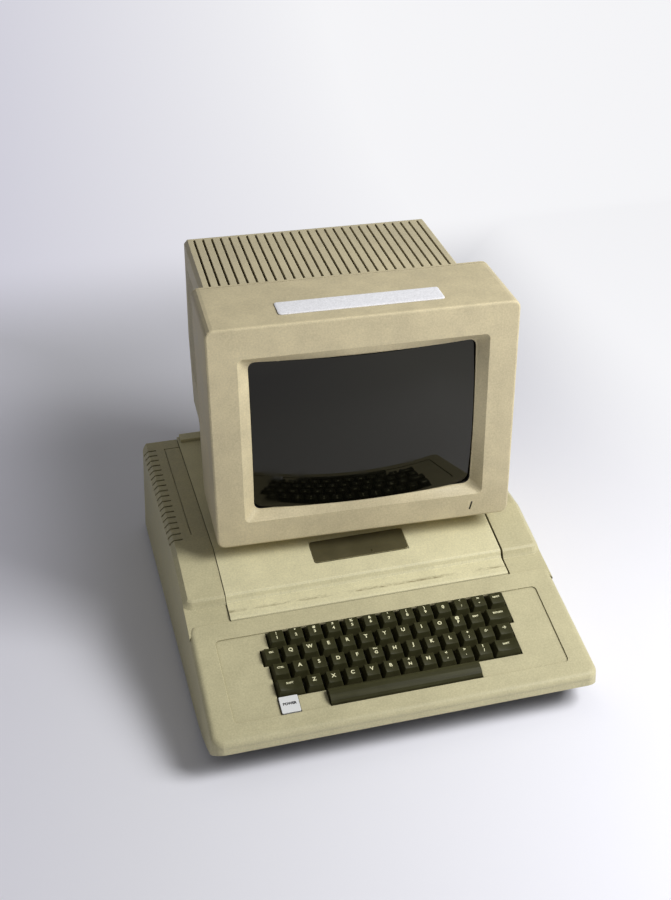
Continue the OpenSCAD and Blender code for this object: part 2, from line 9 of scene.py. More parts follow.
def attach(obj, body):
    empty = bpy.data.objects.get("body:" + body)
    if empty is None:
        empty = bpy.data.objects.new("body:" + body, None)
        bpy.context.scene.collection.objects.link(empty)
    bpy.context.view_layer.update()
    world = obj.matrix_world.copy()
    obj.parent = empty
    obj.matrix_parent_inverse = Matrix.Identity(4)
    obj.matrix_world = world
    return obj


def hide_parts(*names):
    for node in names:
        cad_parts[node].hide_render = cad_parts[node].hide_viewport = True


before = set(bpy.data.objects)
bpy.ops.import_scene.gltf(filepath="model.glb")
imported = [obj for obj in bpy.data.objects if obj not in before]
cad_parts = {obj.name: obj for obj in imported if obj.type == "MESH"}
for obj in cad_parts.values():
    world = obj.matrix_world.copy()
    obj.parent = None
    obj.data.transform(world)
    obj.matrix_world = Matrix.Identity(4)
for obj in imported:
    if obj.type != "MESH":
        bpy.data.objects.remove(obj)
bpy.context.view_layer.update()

# ---- camera ----
# A studio camera stands in front of the machine, a little to its left, and looks down on it.
# It is turned a little about its own line of sight. MIDDLE carries a y of the part's source into the frame.
MIDDLE = -0.01685
CAMERA_PLACE = Vector((-0.311354, -1.125091 + MIDDLE, 0.892005))
CAMERA_TURN, CAMERA_TILT, CAMERA_ROLL = radians(-14.802), radians(30.598), radians(-0.548)
FILM_WIDTH, FOCAL_LENGTH = 36, 52.934

camera = bpy.data.objects.new("camera", bpy.data.cameras.new("camera"))
bpy.context.scene.collection.objects.link(camera)
backwards = Vector((sin(CAMERA_TURN) * cos(CAMERA_TILT), -cos(CAMERA_TURN) * cos(CAMERA_TILT), sin(CAMERA_TILT)))
level = Vector((cos(CAMERA_TURN), sin(CAMERA_TURN), 0))
upright = backwards.cross(level)
across = level * cos(CAMERA_ROLL) + upright * sin(CAMERA_ROLL)
up = upright * cos(CAMERA_ROLL) - level * sin(CAMERA_ROLL)
camera.matrix_world = Matrix.Translation(CAMERA_PLACE) @ Matrix((across, up, backwards)).transposed().to_4x4()
camera.data.sensor_width, camera.data.lens = FILM_WIDTH, FOCAL_LENGTH
camera.data.clip_start, camera.data.clip_end = 0.05, 50
bpy.context.scene.camera = camera


# ---- floor and lamps ----
# A sheet of pale paper lies under the machine and curves up behind it. One large soft lamp stands to the right
# and in front, and the room fills the shadows. A painted glow, not a lamp, burns the paper out to the right,
# behind and far off, grows brighter to the right as painted falloff of light, and lifts the machine's shadow on the
# left with painted light. Only the camera and mirror-like surfaces see that glow, so it puts no light on the machine.
def put(tree, kind, inputs=(), **settings):
    """Adds a shader node; inputs maps a socket to a value or to the socket that feeds it."""
    made = tree.nodes.new("ShaderNode" + kind)
    for name, value in settings.items():
        setattr(made, name, value)
    for name, value in dict(inputs).items():
        if isinstance(value, bpy.types.NodeSocket):
            tree.links.new(value, made.inputs[name])
        else:
            made.inputs[name].default_value = value
    return made


def reckon(tree, operation, *values, clamp=False):
    """A sum on one, two or three values, as the socket that gives its result."""
    return put(tree, "Math", enumerate(values), operation=operation, use_clamp=clamp).outputs[0]


def ramp(tree, value, start, end, low=0.0, high=1.0, soft=False):
    """Goes from low to high while value goes from start to end; soft eases it in and out."""
    return put(tree, "MapRange", {"Value": value, "From Min": start, "From Max": end, "To Min": low, "To Max": high},
               interpolation_type="SMOOTHSTEP" if soft else "LINEAR").outputs[0]


def mix(tree, share, first, second, kind="RGBA"):
    """Two colours, or with kind FLOAT two values, mixed by the second one's share."""
    return put(tree, "Mix", {"Factor": share, "A": first, "B": second}, data_type=kind).outputs["Result"]


def paint(name, colour, roughness):
    """A material with its one shader, which the caller may feed with more nodes."""
    material = bpy.data.materials.new(name)
    material.use_nodes = True
    shader = material.node_tree.nodes["Principled BSDF"]
    shader.inputs["Base Color"].default_value = (*colour, 1)
    shader.inputs["Roughness"].default_value = roughness
    return material, material.node_tree, shader


def corners_of(geometry):
    """The vertices among what a bmesh operator gave back."""
    return [part for part in geometry if isinstance(part, bmesh.types.BMVert)]


def finished(name, form, material, body=None, replaces=(), smooth=0):
    """Makes a finished object of a bmesh; edges flatter than smooth degrees are shaded round."""
    mesh = bpy.data.meshes.new(name)
    form.to_mesh(mesh)
    form.free()
    mesh.materials.append(material)
    piece = bpy.data.objects.new(name, mesh)
    bpy.context.scene.collection.objects.link(piece)
    if smooth:
        mesh.shade_smooth()
        mesh.set_sharp_from_angle(angle=radians(smooth))
    if body:
        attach(piece, body)
    if replaces:
        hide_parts(*replaces)
    return piece


PAPER_HALF, PAPER_FRONT = 6, -4
PAPER_BEND, PAPER_RADIUS, PAPER_SWEEP = 1.1, 1.2, radians(88)
form = bmesh.new()
ends = form.verts.new((-PAPER_HALF, PAPER_FRONT, 0)), form.verts.new((-PAPER_HALF, PAPER_BEND, 0))
form.edges.new(ends)
bmesh.ops.spin(form, geom=[ends[1]], cent=(0, PAPER_BEND, PAPER_RADIUS), axis=(1, 0, 0),
               dvec=(0, 0, 0), angle=PAPER_SWEEP, steps=24, use_merge=False, use_duplicate=False)
swept = bmesh.ops.extrude_edge_only(form, edges=form.edges[:])["geom"]
bmesh.ops.translate(form, verts=corners_of(swept), vec=(2 * PAPER_HALF, 0, 0))
bmesh.ops.recalc_face_normals(form, faces=form.faces)

# Along an axis, from near to far, painted glow takes the paper from lit to burnt out by this share.
PAINTED_BURN_OUT = (
    ("X", 0.28, 0.62, 0.88),     # right of the machine
    ("Y", 0.65, 1.10, 0.92),     # behind it
    ("X", -0.22, -0.40, 0.27),   # left of it, painted light lifting its shadow there
    ("X", -1.0, -1.8, 0.88),     # far to the left
    ("Y", -0.45, -1.1, 0.90))    # in front
# The glow's colour is painted darker to the left and brighter to the right and far off, as painted falloff of light.
PAPER_SHADED, PAPER_BRIGHT = (0.52, 0.51, 0.62, 1), (0.96, 0.96, 0.98, 1)
paper, tree, shader = paint("pale_paper", (0.86, 0.86, 0.92), 0.8)
rays = put(tree, "LightPath").outputs
spot = put(tree, "SeparateXYZ", {0: put(tree, "TexCoord").outputs["Object"]}).outputs
lift = 0.0
for axis, near, far, share in PAINTED_BURN_OUT:
    lift = reckon(tree, "MAXIMUM", lift, ramp(tree, spot[axis], near, far, 0.0, share, soft=True))
seen = reckon(tree, "MAXIMUM", rays["Is Camera Ray"], rays["Is Glossy Ray"])
brightness = ramp(tree, spot["X"], -0.65, 0.45)
for axis, near, far in (("X", -1.5, -2.4), ("Y", -0.8, -1.8)):
    brightness = reckon(tree, "MAXIMUM", brightness, ramp(tree, spot[axis], near, far, 0.0, 0.78))
glow = put(tree, "Emission", {"Color": mix(tree, brightness, PAPER_SHADED, PAPER_BRIGHT)})
mixed = put(tree, "MixShader", {0: reckon(tree, "MULTIPLY", seen, lift), 1: shader.outputs[0], 2: glow.outputs[0]})
tree.links.new(mixed.outputs[0], tree.nodes["Material Output"].inputs["Surface"])
sheet = finished("paper_floor", form, paper, smooth=40)

LAMP_PLACE, LAMP_AIM = Vector((0.878, -0.686, 1.154)), Vector((0, 0, 0.15))
LAMP_SIZE, LAMP_POWER = 0.7, 24
lamp = bpy.data.objects.new("key_lamp", bpy.data.lights.new("key_lamp", "AREA"))
lamp.data.size, lamp.data.energy = LAMP_SIZE, LAMP_POWER
lamp.location = LAMP_PLACE
lamp.rotation_euler = (LAMP_AIM - LAMP_PLACE).to_track_quat("-Z", "Y").to_euler()
bpy.context.scene.collection.objects.link(lamp)

ROOM_LIGHT, ROOM_COLOUR = 0.20, (0.86, 0.86, 0.90, 1)
world = bpy.data.worlds.new("room")
bpy.context.scene.world = world
world.use_nodes = True
tree = world.node_tree
room = tree.nodes["Background"]
seen = put(tree, "LightPath").outputs["Is Camera Ray"]
tree.links.new(ramp(tree, seen, 0.0, 1.0, ROOM_LIGHT, 1.0), room.inputs["Strength"])
tree.links.new(mix(tree, seen, (1, 1, 1, 1), ROOM_COLOUR), room.inputs["Color"])
bpy.context.scene.view_settings.view_transform = "Standard"

# ---- base pan and feet ----
# A pressed steel pan closes the case from below. It is painted a satin near-black.
# Four rubber feet are pushed into it and eight pan-head screws hold it to the case.
MM = 0.001


def socket_set(group, way, wanted):
    """Gives a node group its named inputs or outputs, with their starting values."""
    for name, start in wanted.items():
        size = len(start) if isinstance(start, tuple) else 1
        kind = {1: "NodeSocketFloat", 3: "NodeSocketVector", 4: "NodeSocketColor"}[size]
        made = group.interface.new_socket(name=name, in_out=way, socket_type=kind)
        if way == "INPUT":
            made.default_value = start
    return group.nodes.new("NodeGroupInput" if way == "INPUT" else "NodeGroupOutput")


def cloud(tree, place, scale, detail, roughness=0.5):
    """A soft random pattern."""
    return put(tree, "TexNoise", {"Vector": place, "Scale": scale, "Detail": detail,
                                  "Roughness": roughness}).outputs["Fac"]


# The wear and painted light that every finish shares: uneven colour, painted shade with some dust in corners and
# grooves, edges painted paler as rubbed wear and as painted highlight, and a fine grain.
SHADE_AND_DUST_REACH, GRAIN_DEPTH = 0.005, 0.0002
wear_and_painted_light = tree = bpy.data.node_groups.new("wear_and_painted_light", "ShaderNodeTree")
given = socket_set(tree, "INPUT", {
    "Colour": (0.5, 0.5, 0.5, 1), "Grime Colour": (0.2, 0.17, 0.1, 1), "Grime": 0.3, "Mottle": 0.1,
    "Mottle Scale": 60.0, "Speck": 0.1, "Grain Scale": 1400.0, "Grain": 0.2, "Roughness": 0.5,
    "Edge": 0.0006, "Rub": 0.4}).outputs
result = socket_set(tree, "OUTPUT", {"Colour": (0, 0, 0, 1), "Roughness": 0.0, "Normal": (0, 0, 0)})
place = put(tree, "TexCoord").outputs["Object"]
mottle = cloud(tree, place, given["Mottle Scale"], 5.0)
grain = cloud(tree, place, given["Grain Scale"], 2.0)
blotch = reckon(tree, "SUBTRACT", reckon(tree, "ADD", mottle, cloud(tree, place, 9.0, 2.0)), 1.0)
tint = reckon(tree, "MULTIPLY_ADD", blotch, given["Mottle"], 1.0)
shade = reckon(tree, "MULTIPLY_ADD", reckon(tree, "SUBTRACT", grain, 0.5), given["Speck"], tint)
toned = put(tree, "VectorMath", {0: given["Colour"], 1: shade}, operation="MULTIPLY").outputs[0]

# Painted shade with some dust: where little light reaches, in corners and grooves, the colour is darkened.
openness = put(tree, "AmbientOcclusion", {"Distance": SHADE_AND_DUST_REACH}, samples=4).outputs["AO"]
hidden = ramp(tree, openness, 0.85, 0.25)
corner_shade_and_dust = reckon(tree, "MULTIPLY", reckon(tree, "MULTIPLY", hidden, mottle), given["Grime"], clamp=True)
dusted_and_shaded = mix(tree, corner_shade_and_dust, toned, given["Grime Colour"])

# Painted highlight with rubbed wear: convex edges, away from corners, are painted paler.
rounded = put(tree, "Bevel", {"Radius": given["Edge"]}, samples=4).outputs[0]
plain = put(tree, "NewGeometry").outputs["Normal"]
flatness = put(tree, "VectorMath", {0: rounded, 1: plain}, operation="DOT_PRODUCT").outputs["Value"]
edge_rub_and_highlight = reckon(tree, "MULTIPLY", ramp(tree, flatness, 0.995, 0.93),
                   reckon(tree, "SUBTRACT", 1.0, hidden, clamp=True))
paler = reckon(tree, "MULTIPLY_ADD", edge_rub_and_highlight, given["Rub"], 1.0)
worn_and_painted_colour = put(tree, "VectorMath", {0: dusted_and_shaded, 1: paler}, operation="MULTIPLY").outputs[0]
polish = reckon(tree, "MULTIPLY_ADD", blotch, 0.3, given["Roughness"], clamp=True)
grained = put(tree, "Bump", {"Strength": given["Grain"], "Distance": GRAIN_DEPTH, "Height": grain,
                             "Normal": rounded}).outputs[0]
for socket, source in (("Colour", worn_and_painted_colour), ("Roughness", polish), ("Normal", grained)):
    tree.links.new(source, result.inputs[socket])


def worn_with_painted_light(name, colour, roughness, metallic=0.0, specular=0.5, **values):
    """A material whose colour, roughness and surface come from the group of wear and painted light, which values
    sets: painted shade in corners and grooves, and a painted highlight on edges.
    """
    material, tree, shader = paint(name, colour, roughness)
    shader.inputs["Metallic"].default_value = metallic
    shader.inputs["Specular IOR Level"].default_value = specular
    wear_light_node = tree.nodes.new("ShaderNodeGroup")
    wear_light_node.node_tree = wear_and_painted_light
    wear_light_node.inputs["Colour"].default_value = (*colour, 1)
    wear_light_node.inputs["Roughness"].default_value = roughness
    for socket, value in values.items():
        wear_light_node.inputs[socket.replace("_", " ").title()].default_value = value
    for socket in ("Colour", "Roughness", "Normal"):
        tree.links.new(wear_light_node.outputs[socket], shader.inputs["Base Color" if socket == "Colour" else socket])
    return material, tree, shader, wear_light_node


def dress(material, *nodes):
    """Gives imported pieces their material."""
    for node in nodes:
        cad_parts[node].material_slots[0].material = material


pan_paint = worn_with_painted_light("pan_paint", (0.026, 0.024, 0.018), 0.42, mottle=0.5, grain=0.35, speck=0.3, edge=0.0008)[0]
foot_rubber = worn_with_painted_light("foot_rubber", (0.018, 0.018, 0.017), 0.75, mottle=0.7, speck=0.5, grain=0.4)[0]
screw_zinc = worn_with_painted_light("screw_zinc", (0.52, 0.50, 0.44), 0.35, metallic=1.0, mottle=0.3, edge=0.0002)[0]
dress(pan_paint, "base_pan")
dress(foot_rubber, "case_feet")


def screw_head(form, matrix, radius):
    """A pan-head screw with a cross recess; its own frame has the head's top along +Z."""
    size = radius * MM
    head = bmesh.ops.create_cone(form, cap_ends=True, segments=20, radius1=size, radius2=0.82 * size,
                                 depth=0.55 * size)["verts"]
    bmesh.ops.translate(form, verts=head, vec=(0, 0, 0.27 * size))
    rim = dict.fromkeys(edge for vert in head for edge in vert.link_edges
                        if all(end.co.z > 0.4 * size for end in edge.verts))
    shaped = bmesh.ops.bevel(form, geom=list(rim), offset=0.12 * size, segments=2, profile=0.5,
                             affect="EDGES", material=-1)["verts"]
    arms = []
    for width, depth in ((0.95, 0.22), (0.22, 0.95)):
        arm = bmesh.ops.create_cube(form, size=size)["verts"]
        bmesh.ops.scale(form, verts=arm, vec=(width, depth, 0.08))
        bmesh.ops.translate(form, verts=arm, vec=(0, 0, 0.53 * size))
        arms += arm
    kept = [vert for vert in head if vert.is_valid]
    bmesh.ops.transform(form, matrix=matrix, verts=list(dict.fromkeys(kept + shaped + arms)))


def facing(x, y, z, direction):
    """The place x, y, z in millimetres, with +Z turned to the direction."""
    turn = Vector(direction).to_track_quat("Z", "Y").to_matrix().to_4x4()
    return Matrix.Translation((x * MM, y * MM + MIDDLE, z * MM)) @ turn


PAN_SCREW_X, PAN_SCREW_YS, PAN_SCREW_Z, PAN_SCREW_RADIUS = 180, (-118, -40, 60, 160), 6, 3.4
form = bmesh.new()
for side in (-1, 1):
    for y in PAN_SCREW_YS:
        screw_head(form, facing(side * PAN_SCREW_X, y, PAN_SCREW_Z, (0, 0, -1)), PAN_SCREW_RADIUS)
finished("pan_screws", form, screw_zinc, "case", smooth=35)

# ---- main board, card sockets, supply and speaker ----
# The green board stands on pillars on the pan, with rows of socketed chips and eight card sockets behind.
# The supply is a folded sheet-metal box at the left, and the speaker lies face down on the pan.
CHIP_FOOT = 0.0178
LACQUER, COPPER_UNDER_IT, CHIP_BLACK = (0.014, 0.085, 0.032, 1), (0.035, 0.19, 0.07, 1), (0.022, 0.022, 0.024, 1)


def stands_above(tree, height):
    """Is 1 where the surface is higher than height, and 0 below."""
    place = put(tree, "TexCoord").outputs["Object"]
    return reckon(tree, "GREATER_THAN", put(tree, "SeparateXYZ", {0: place}).outputs["Z"], height)


board, tree, shader, wear_light_node = worn_with_painted_light("board_lacquer", (0.02, 0.11, 0.045), 0.32, mottle=0.3, speck=0.1)
place = put(tree, "TexCoord").outputs["Object"]
tracks = [put(tree, "TexWave", {"Vector": place, "Scale": 125.0}, bands_direction=way).outputs["Fac"]
          for way in "XY"]
patch = put(tree, "TexVoronoi", {"Vector": place, "Scale": 34.0}, distance="CHEBYCHEV").outputs["Color"]
crosswise = reckon(tree, "GREATER_THAN", put(tree, "SeparateColor", {0: patch}).outputs["Red"], 0.5)
copper = reckon(tree, "GREATER_THAN", mix(tree, crosswise, *tracks, kind="FLOAT"), 0.72)
tracked = mix(tree, copper, LACQUER, COPPER_UNDER_IT)
tree.links.new(mix(tree, stands_above(tree, CHIP_FOOT), tracked, CHIP_BLACK), wear_light_node.inputs["Colour"])
dress(board, "mainboard")


def small_block(form, size, x, y, z):
    """A block about x, y, z; all in millimetres."""
    made = bmesh.ops.create_cube(form, size=MM)["verts"]
    bmesh.ops.scale(form, verts=made, vec=size)
    bmesh.ops.translate(form, verts=made, vec=(x * MM, y * MM + MIDDLE, z * MM))


CHIP_COLUMNS, CHIP_STEP_X, CHIP_LEFT = 8, 31, -76.8
CHIP_ROWS, CHIP_STEP_Y, CHIP_FRONT = 6, 17, -50.25
PINS, PIN_STEP, PIN_OUT, PIN_HEIGHT, PIN_SIZE = 8, 2.37, 4.12, 19.2, (0.5, 0.7, 3.2)
tinned = worn_with_painted_light("tinned_metal", (0.62, 0.61, 0.57), 0.3, metallic=1.0, mottle=0.3, edge=0.0001)[0]
form = bmesh.new()
for column in range(CHIP_COLUMNS):
    for row in range(CHIP_ROWS):
        for pin in range(PINS):
            for side in (-1, 1):
                small_block(form, PIN_SIZE, CHIP_LEFT + column * CHIP_STEP_X + pin * PIN_STEP,
                            CHIP_FRONT + row * CHIP_STEP_Y + side * PIN_OUT, PIN_HEIGHT)
finished("chip_legs", form, tinned, "case")

CARDS, CARD_STEP, CARD_LEFT = 8, 25, -71.5
CONTACTS, CONTACT_STEP, CONTACT_FRONT, CONTACT_HEIGHT, CONTACT_SIZE = 25, 4.0, 92, 26, (0.34, 1.6, 7.4)
socket_green = worn_with_painted_light("socket_green", (0.012, 0.06, 0.035), 0.4, mottle=0.3, speck=0.2)[0]
gold = worn_with_painted_light("contact_gold", (0.78, 0.55, 0.20), 0.28, metallic=1.0, mottle=0.3, edge=0.0001)[0]
dress(socket_green, "card_slots")
form = bmesh.new()
for card in range(CARDS):
    for contact in range(CONTACTS):
        for side in (-1, 1):
            small_block(form, CONTACT_SIZE, CARD_LEFT + card * CARD_STEP + side,
                        CONTACT_FRONT + contact * CONTACT_STEP, CONTACT_HEIGHT)
finished("card_contacts", form, gold, "case")

SUPPLY_REAR, SUPPLY_TOP, SUPPLY_SCREW_XS, SUPPLY_SCREW_RADIUS = 222, 68.2, (-178, -106), 2.6
supply, tree, shader, wear_light_node = worn_with_painted_light("passivated_sheet", (0.56, 0.47, 0.27), 0.38, metallic=1.0, mottle=0.25,
                                  speck=0.0, grain=0.15, edge=0.0006)
rolled = put(tree, "Mapping", {"Vector": put(tree, "TexCoord").outputs["Object"], "Scale": (40, 2.5, 40)})
sheen = mix(tree, cloud(tree, rolled.outputs[0], 20.0, 4.0), (0.44, 0.37, 0.20, 1), (0.68, 0.60, 0.40, 1))
tree.links.new(sheen, wear_light_node.inputs["Colour"])
dress(supply, "power_supply")
form = bmesh.new()
for z in (12, 64):
    for x in SUPPLY_SCREW_XS:
        screw_head(form, facing(x, SUPPLY_REAR, z, (0, 1, 0)), SUPPLY_SCREW_RADIUS)
for y in (-44, 210):
    for x in SUPPLY_SCREW_XS:
        screw_head(form, facing(x, y, SUPPLY_TOP, (0, 0, 1)), SUPPLY_SCREW_RADIUS)
finished("supply_screws", form, screw_zinc, "case", smooth=35)

MAGNET_FOOT, CONE_PAPER, MAGNET_STEEL = 0.0212, (0.035, 0.032, 0.028), (0.42, 0.41, 0.38)
speaker_paper, tree, shader, wear_light_node = worn_with_painted_light("speaker_paper", CONE_PAPER, 0.8, mottle=0.6, speck=0.7,
                                         grain_scale=700, grain=0.6)
magnet = stands_above(tree, MAGNET_FOOT)
tree.links.new(mix(tree, magnet, (*CONE_PAPER, 1), (*MAGNET_STEEL, 1)), wear_light_node.inputs["Colour"])
tree.links.new(magnet, shader.inputs["Metallic"])
dress(speaker_paper, "speaker")

# ---- power switch ----
# A black rocker sits in the supply's rear face and rocks on a pin through its middle.
# It is moulded in glossy plastic with a dished face, and a line and a ring are printed on its two halves.
MARK_HEIGHT, MARK_OFF_MIDDLE, MARK_OUT, DISH_LEAN, ROCKED = 3.0, 4.6, 8.93, 7, -12
switch_black = worn_with_painted_light("switch_black", (0.012, 0.012, 0.013), 0.22, mottle=0.4, edge=0.0006)[0]
mark_white = worn_with_painted_light("mark_white", (0.80, 0.80, 0.76), 0.5, mottle=0.1, grime=0.0)[0]
dress(switch_black, "power_switch", "monitor_switch")


def letters(text, height, bold=0.0):
    """Flat lettering as a bmesh about its own middle, in millimetres, with +Z towards the reader."""
    data = bpy.data.curves.new("lettering", "FONT")
    data.body, data.size, data.align_x, data.align_y = text, height / 0.72, "CENTER", "CENTER"
    data.offset, data.resolution_u = bold, 3
    drawn = bpy.data.objects.new("lettering", data)
    bpy.context.scene.collection.objects.link(drawn)
    flat = bpy.data.meshes.new_from_object(drawn.evaluated_get(bpy.context.evaluated_depsgraph_get()))
    form = bmesh.new()
    form.from_mesh(flat)
    bpy.data.objects.remove(drawn)
    bpy.data.curves.remove(data)
    bpy.data.meshes.remove(flat)
    bmesh.ops.triangulate(form, faces=form.faces[:])
    bmesh.ops.recalc_face_normals(form, faces=form.faces)
    if form.faces and sum(face.normal.z for face in form.faces) < 0:
        bmesh.ops.reverse_faces(form, faces=form.faces)
    return form


def joined(forms):
    """Several bmeshes as one."""
    whole = bmesh.new()
    for form in forms:
        carried = bpy.data.meshes.new("carried")
        form.to_mesh(carried)
        form.free()
        whole.from_mesh(carried)
        bpy.data.meshes.remove(carried)
    return whole


def rocker_marks(name, body, pin, base):
    """A line and a ring on the dished face of a rocker; pin is its middle in millimetres, carried by base."""
    forms = []
    for text, half in (("I", 1), ("O", -1)):
        form = letters(text, MARK_HEIGHT)
        bmesh.ops.transform(form, verts=form.verts, matrix=(
            Matrix.Translation(pin) @ Matrix.Rotation(radians(ROCKED), 4, "X")
            @ Matrix.Translation((0, MARK_OUT, half * MARK_OFF_MIDDLE)) @ Matrix.Rotation(radians(180), 4, "Z")
            @ Matrix.Rotation(radians(90), 4, "X") @ Matrix.Rotation(radians(half * DISH_LEAN), 4, "X")))
        forms.append(form)
    marks = joined(forms)
    bmesh.ops.transform(marks, matrix=base @ Matrix.Scale(MM, 4), verts=marks.verts)
    finished(name, marks, mark_white, body)


rocker_marks("power_switch_marks", "power_switch", (-127.3, 215, 35.6), Matrix.Translation((0, MIDDLE, 0)))

# ---- case and lid ----
# The wedge-shaped case is one structural foam moulding with a fine sprayed texture, gone yellow with age.
# The lid is moulded in the same plastic and drops into the opening; hands have soiled its front edge.
CASE_BEIGE, LID_BEIGE, HAND_SOIL = (0.50, 0.458, 0.282), (0.635, 0.59, 0.374), (0.15, 0.115, 0.045)


def aged_plastic(name, colour, **values):
    """Beige moulded plastic with a sprayed texture, faint blotches, and strong painted shade with some dust in its
    corners and grooves.
    """
    return worn_with_painted_light(name, colour, 0.52, specular=0.35, **{
        "mottle": 0.26, "mottle_scale": 45.0, "speck": 0.42, "grain_scale": 620.0, "grain": 0.30, "edge": 0.0007,
        "grime": 1.5, "grime_colour": (0.12, 0.10, 0.05, 1), **values})


case_plastic = aged_plastic("case_plastic", CASE_BEIGE)[0]
dress(case_plastic, "case_shell")

SCUFF_FRONT, SCUFF_MIDDLE, SCUFF_BACK = -0.1005, -0.0990, -0.0955
lid_plastic, tree, shader, wear_light_node = aged_plastic("lid_plastic", LID_BEIGE)
place = put(tree, "TexCoord").outputs["Object"]
depth = put(tree, "SeparateXYZ", {0: place}).outputs["Y"]
band = reckon(tree, "MULTIPLY", ramp(tree, depth, SCUFF_MIDDLE, SCUFF_BACK, 1.0, 0.0),
              ramp(tree, depth, SCUFF_FRONT, SCUFF_MIDDLE))
sideways = put(tree, "Mapping", {"Vector": place, "Scale": (0.3, 1.0, 1.0)}).outputs[0]
smears = reckon(tree, "MULTIPLY", cloud(tree, sideways, 520.0, 6.0, 0.7), cloud(tree, place, 22.0, 2.0))
soil = reckon(tree, "MULTIPLY", ramp(tree, smears, 0.21, 0.36, 0.0, 0.8), band)
tree.links.new(mix(tree, soil, (*LID_BEIGE, 1), (*HAND_SOIL, 1)), wear_light_node.inputs["Colour"])
dress(lid_plastic, "lid")

# ---- badge plate ----
# A bare dark plate lies in a shallow pocket in the lid's slope.
# It is satin foil on stiff card, cut with round corners and glued down, and its edges are painted pale, as rubbed
# wear and as painted highlight.
badge_foil = worn_with_painted_light("badge_foil", (0.105, 0.092, 0.046), 0.36, metallic=0.35, mottle=0.5, speck=0.5,
                  grain_scale=1800, grain=0.3, edge=0.0009, rub=3.5)[0]
dress(badge_foil, "badge_plate")

# ---- key frame ----
# A steel plate, painted black, lies under the keys and carries one switch under each of them.
# It is screwed to the case from below, and only the gaps between the keys show it.
frame_paint = worn_with_painted_light("frame_paint", (0.012, 0.012, 0.011), 0.5, mottle=0.4, speck=0.3)[0]
dress(frame_paint, "key_frame")

# ---- keys ----
# Each cap is a hollow tapered moulding in dark brown plastic with a dished top, pressed on a round stem.
# The letters are moulded through in cream plastic, and fingers have polished the tops.
PANEL_FRONT, PANEL_FOOT, PANEL_SLOPE = -0.2205, 0.0455, radians(15.5)
KEYS_MIDDLE, KEYS_RIGHT_BY, NUMBER_ROW_UP = 6.375, 4.26, 102.5
KEY_PITCH, KEY_GAP, KEY_INSET = 19.05, 0.95, 2.65
KEY_FOOT, KEY_TOP, KEY_CORNER, KEY_RIM = -4.5, 5.35, 0.8, 0.3
DISH_CENTRE, DISH_RADIUS, DISH_FLATTER, DISH_REACH, DISH_CUTS = 39, 34.2, 0.4, 11.5, 1.6
WALL, HOLLOW_DEPTH, HOLLOW_TAPER = 1.4, 6.5, 3.4
STEM_RADIUS, STEM_LONG, STEM_MIDDLE = 2.5, 13.4, -3.8
LETTER_HEIGHT, LETTER_BOLD, WORD_HEIGHT, WORD_BOLD, LETTER_PROUD = 4.0, 0.17, 2.0, 0.09, 0.05
key_plastic = worn_with_painted_light("key_plastic", (0.036, 0.035, 0.013), 0.42, specular=0.18, mottle=0.35, mottle_scale=180,
                   speck=0.55, grain_scale=1500, grain=0.30, edge=0.0003, grime=0.2)[0]
legend_cream = worn_with_painted_light("legend_cream", (0.80, 0.77, 0.50), 0.45, mottle=0.15, mottle_scale=900, grime=0.0)[0]


def key_place(u, row):
    """Where a key stands; its own frame is x across, y up the panel and z out of it, in millimetres."""
    return (Matrix.Translation((0, MIDDLE + PANEL_FRONT, PANEL_FOOT)) @ Matrix.Rotation(PANEL_SLOPE, 4, "X")
            @ Matrix.Scale(MM, 4)
            @ Matrix.Translation(((u - KEYS_MIDDLE) * KEY_PITCH + KEYS_RIGHT_BY, NUMBER_ROW_UP - KEY_PITCH * row, 0)))


def dished(x, units):
    """The height of a cap's top at x millimetres from its middle."""
    radius = DISH_RADIUS + (units - 1) * DISH_FLATTER
    reach = min(abs(x), DISH_REACH)
    return DISH_CENTRE - sqrt(radius * radius - reach * reach)


